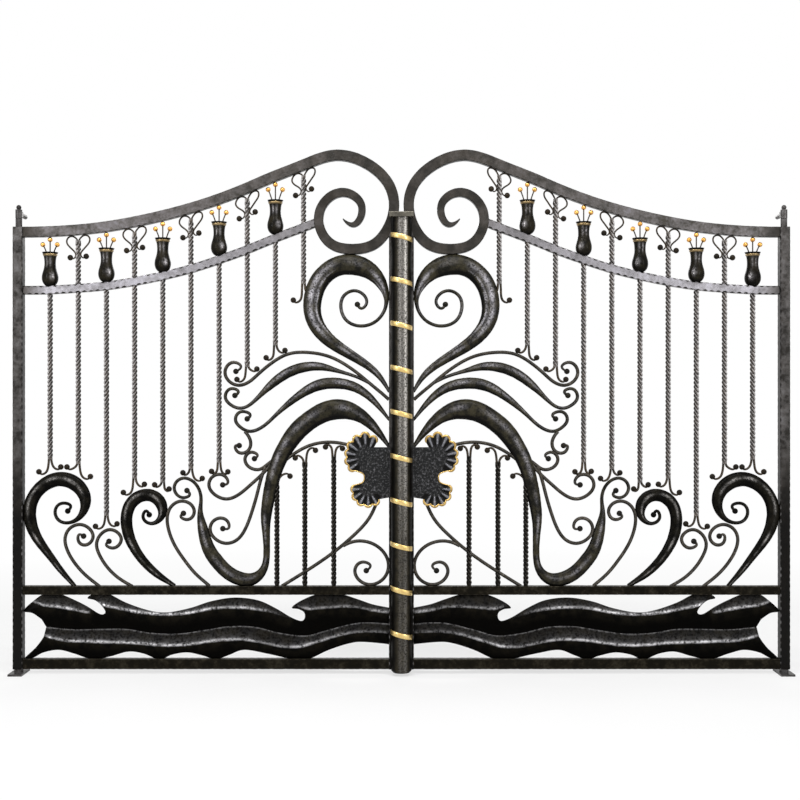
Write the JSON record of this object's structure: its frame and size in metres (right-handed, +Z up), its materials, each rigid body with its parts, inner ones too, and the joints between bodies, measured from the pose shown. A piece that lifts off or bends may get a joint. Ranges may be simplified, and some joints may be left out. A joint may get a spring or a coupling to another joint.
{
  "type": "wrought iron driveway gate",
  "caption": "Double-leaf wrought iron driveway gate with an arched top, rolled volutes, twisted bars, forged scrolls, wave panels and gilt details, hung on floor pivots.",
  "frame": {"origin": "on the floor under the left hinge axis, on the underside of the left floor plate", "axes": "+X along the closed gate from the left hinge to the right one, the front faces -Y, +Z up"},
  "size_m": [3.13, 0.169, 2.1029],
  "materials": {
    "stile_iron": "hammered patina",
    "dark_iron": "burnished patina",
    "silver_iron": "brushed silver",
    "twisted_iron": "rubbed twist",
    "cup_iron": "burnished patina",
    "wave_iron": "burnished patina",
    "plate_iron": "hammered",
    "tube_iron": "knurled patina",
    "gilt": "gilt"
  },
  "bodies": {
    "hinge_fixings": {"left_floor_pivot": "stile_iron", "right_floor_pivot": "stile_iron", "left_top_hinge": "stile_iron", "right_top_hinge": "stile_iron"},
    "left_leaf": {"left_hinge_stile": "stile_iron", "left_meeting_stile": "stile_iron", "left_bottom_rail": "stile_iron", "left_waist_rail": "dark_iron", "left_top_rail": "stile_iron", "left_frieze_rail": "silver_iron", "left_picket_bars": "twisted_iron", "left_grille_bars": "twisted_iron", "left_tulip_cups": "cup_iron", "left_gilt_stamens": "gilt", "left_heart_scroll": "dark_iron", "left_plumes": "dark_iron", "left_swan_arm": "dark_iron", "left_wave_hooks": "dark_iron", "left_slim_scrolls": "dark_iron", "left_grille_scrolls": "dark_iron", "left_lock_plate": "plate_iron", "left_upper_wave": "wave_iron", "left_lower_wave": "wave_iron"},
    "right_leaf": {"right_hinge_stile": "stile_iron", "right_meeting_stile": "stile_iron", "right_bottom_rail": "stile_iron", "right_waist_rail": "dark_iron", "right_top_rail": "stile_iron", "right_frieze_rail": "silver_iron", "right_picket_bars": "twisted_iron", "right_grille_bars": "twisted_iron", "right_tulip_cups": "cup_iron", "right_gilt_stamens": "gilt", "right_heart_scroll": "dark_iron", "right_plumes": "dark_iron", "right_swan_arm": "dark_iron", "right_wave_hooks": "dark_iron", "right_slim_scrolls": "dark_iron", "right_grille_scrolls": "dark_iron", "right_lock_plate": "plate_iron", "right_upper_wave": "wave_iron", "right_lower_wave": "wave_iron", "cover_tube": "tube_iron", "tube_cap": "stile_iron", "gilt_bands": "gilt"}
  },
  "joints": [
    {"name": "left_leaf_swing", "type": "hinge", "parent": "hinge_fixings", "child": "left_leaf", "pos_m": [0, 0, 0], "axis": [0, 0, -1], "range_deg": [0, 90]},
    {"name": "right_leaf_swing", "type": "hinge", "parent": "hinge_fixings", "child": "right_leaf", "pos_m": [3.074, 0, 0], "axis": [0, 0, 1], "range_deg": [0, 90]}
  ]
}
